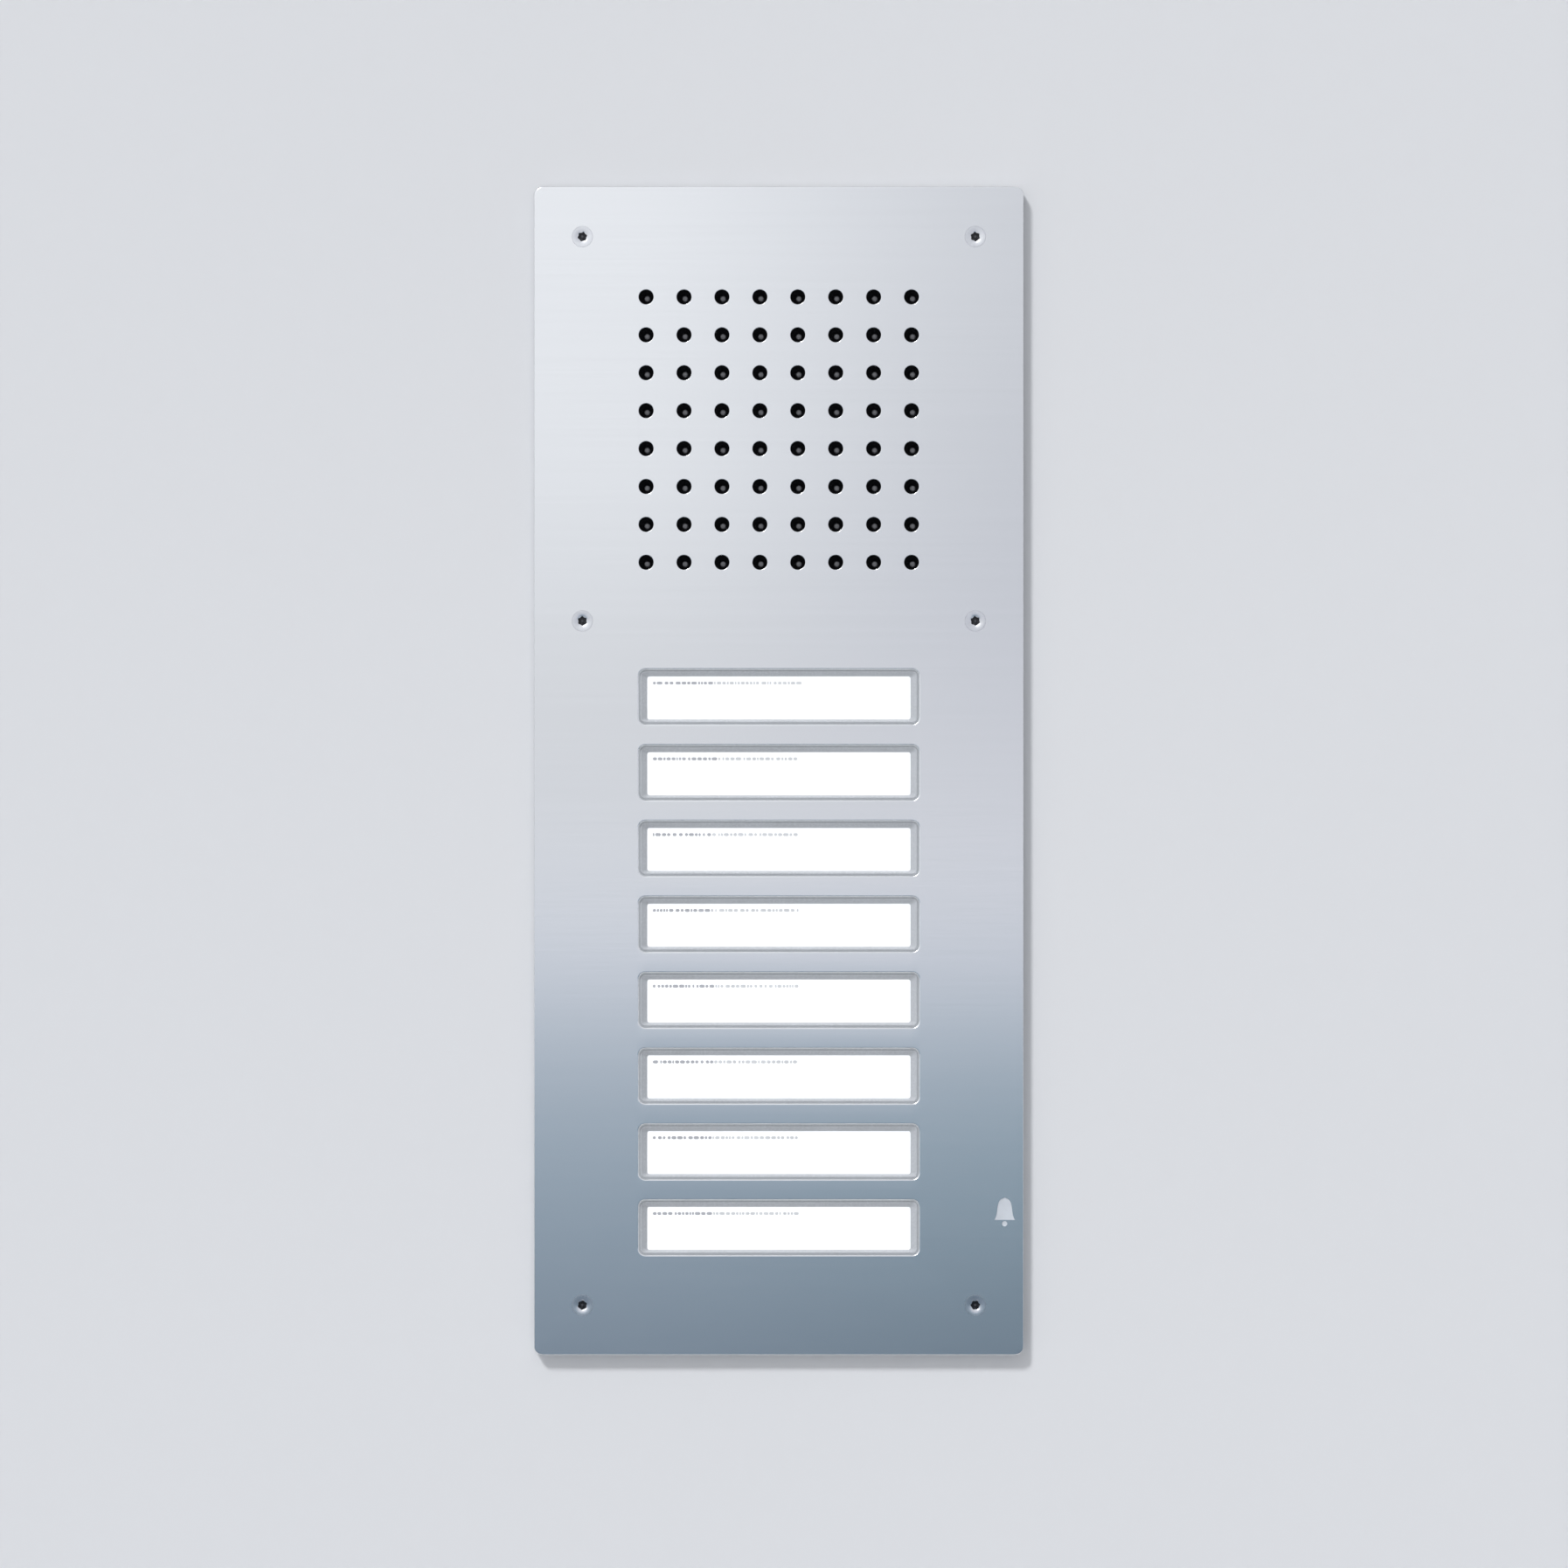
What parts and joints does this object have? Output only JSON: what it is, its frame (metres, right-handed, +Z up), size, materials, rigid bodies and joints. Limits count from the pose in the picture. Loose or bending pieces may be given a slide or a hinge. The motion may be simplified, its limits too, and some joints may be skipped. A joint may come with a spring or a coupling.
{
  "type": "door intercom panel",
  "caption": "Flush-mounted audio door station: a stainless front panel with a round-hole speech grille and a column of lit call buttons, on an in-wall back box.",
  "frame": {"origin": "middle of the panel on the wall's surface, where the sealing strip meets it", "axes": "+X right as the visitor sees it, -Y out of the wall towards the visitor, +Y into the wall, +Z up"},
  "size_m": [0.142, 0.056, 0.339],
  "materials": {
    "brushed_stainless": "fine horizontal brushing, satin",
    "screw_steel": "machined, bright",
    "plated_nut": "yellow zinc plating",
    "galvanised_sheet": "galvanised, faint spangle",
    "basket_steel": "black lacquer on pressed steel",
    "magnet_iron": "sintered ferrite between plated plates",
    "capsule_aluminium": "drawn can, satin",
    "spring_steel": "bright drawn wire",
    "black_foam": "closed-cell foam",
    "black_rubber": "moulded, matt",
    "black_cloth": "woven acoustic cloth",
    "cone_paper": "pressed black paper",
    "black_plastic": "fine moulded texture",
    "carrier_plastic": "fine moulded texture",
    "component_plastic": "moulded resin",
    "terminal_plastic": "moulded",
    "trimmer_plastic": "moulded",
    "white_plastic": "moulded",
    "circuit_board": "solder resist over glass laminate",
    "ribbon_grey": "ribbed sheath with one marked wire",
    "led_resin": "clear resin over phosphor",
    "opal_plastic": "opal diffusing acrylic",
    "clear_cap": "clear polycarbonate, polished",
    "label_film": "white film lit from behind"
  },
  "bodies": {
    "housing": {"front_panel": "brushed_stainless", "panel_gasket": "black_foam", "panel_screws": "screw_steel", "panel_studs": "screw_steel", "stud_nuts": "plated_nut", "back_box": "galvanised_sheet", "rivet_nuts": "plated_nut", "cable_grommet": "black_rubber", "acoustic_cloth": "black_cloth", "speaker_housing": "black_plastic", "speaker_basket": "basket_steel", "speaker_magnet": "magnet_iron", "speaker_surround": "black_rubber", "microphone_capsule": "capsule_aluminium", "microphone_boot": "black_rubber", "speaker_board": "circuit_board", "board_components": "component_plastic", "terminal_block": "terminal_plastic", "terminal_screws": "screw_steel", "trimmer_body": "trimmer_plastic", "ribbon_cable": "ribbon_grey", "button_carrier": "carrier_plastic", "button_board": "circuit_board", "button_leds": "led_resin", "light_guides": "opal_plastic", "switch_bodies": "component_plastic", "return_springs_1": "spring_steel", "return_springs_2": "spring_steel", "return_springs_3": "spring_steel", "return_springs_4": "spring_steel", "return_springs_5": "spring_steel", "return_springs_6": "spring_steel", "return_springs_7": "spring_steel", "return_springs_8": "spring_steel"},
    "call_button_1": {"button_cap_1": "clear_cap", "name_label_1": "label_film", "switch_stems_1": "white_plastic"},
    "call_button_2": {"button_cap_2": "clear_cap", "name_label_2": "label_film", "switch_stems_2": "white_plastic"},
    "call_button_3": {"button_cap_3": "clear_cap", "name_label_3": "label_film", "switch_stems_3": "white_plastic"},
    "call_button_4": {"button_cap_4": "clear_cap", "name_label_4": "label_film", "switch_stems_4": "white_plastic"},
    "call_button_5": {"button_cap_5": "clear_cap", "name_label_5": "label_film", "switch_stems_5": "white_plastic"},
    "call_button_6": {"button_cap_6": "clear_cap", "name_label_6": "label_film", "switch_stems_6": "white_plastic"},
    "call_button_7": {"button_cap_7": "clear_cap", "name_label_7": "label_film", "switch_stems_7": "white_plastic"},
    "call_button_8": {"button_cap_8": "clear_cap", "name_label_8": "label_film", "switch_stems_8": "white_plastic"},
    "speaker_diaphragm": {"speaker_cone": "cone_paper"},
    "volume_trimmer": {"trimmer_rotor": "white_plastic"}
  },
  "joints": [
    {"name": "call_button_1_press", "type": "slide", "parent": "housing", "child": "call_button_1", "axis": [0, 1, 0], "range_m": [0, 0.001], "stiffness_N_per_m": 600, "springref_m": -0.003, "deforming": ["return_springs_1"]},
    {"name": "call_button_2_press", "type": "slide", "parent": "housing", "child": "call_button_2", "axis": [0, 1, 0], "range_m": [0, 0.001], "stiffness_N_per_m": 600, "springref_m": -0.003, "deforming": ["return_springs_2"]},
    {"name": "call_button_3_press", "type": "slide", "parent": "housing", "child": "call_button_3", "axis": [0, 1, 0], "range_m": [0, 0.001], "stiffness_N_per_m": 600, "springref_m": -0.003, "deforming": ["return_springs_3"]},
    {"name": "call_button_4_press", "type": "slide", "parent": "housing", "child": "call_button_4", "axis": [0, 1, 0], "range_m": [0, 0.001], "stiffness_N_per_m": 600, "springref_m": -0.003, "deforming": ["return_springs_4"]},
    {"name": "call_button_5_press", "type": "slide", "parent": "housing", "child": "call_button_5", "axis": [0, 1, 0], "range_m": [0, 0.001], "stiffness_N_per_m": 600, "springref_m": -0.003, "deforming": ["return_springs_5"]},
    {"name": "call_button_6_press", "type": "slide", "parent": "housing", "child": "call_button_6", "axis": [0, 1, 0], "range_m": [0, 0.001], "stiffness_N_per_m": 600, "springref_m": -0.003, "deforming": ["return_springs_6"]},
    {"name": "call_button_7_press", "type": "slide", "parent": "housing", "child": "call_button_7", "axis": [0, 1, 0], "range_m": [0, 0.001], "stiffness_N_per_m": 600, "springref_m": -0.003, "deforming": ["return_springs_7"]},
    {"name": "call_button_8_press", "type": "slide", "parent": "housing", "child": "call_button_8", "axis": [0, 1, 0], "range_m": [0, 0.001], "stiffness_N_per_m": 600, "springref_m": -0.003, "deforming": ["return_springs_8"]},
    {"name": "speaker_cone_travel", "type": "slide", "parent": "housing", "child": "speaker_diaphragm", "axis": [0, 1, 0], "range_m": [-0.0005, 0.0005], "stiffness_N_per_m": 300, "deforming": ["speaker_surround"]},
    {"name": "volume_trimmer_turn", "type": "hinge", "parent": "housing", "child": "volume_trimmer", "pos_m": [0.03, 0.0275, 0.128], "axis": [0, 1, 0], "range_deg": [-135, 135]}
  ]
}
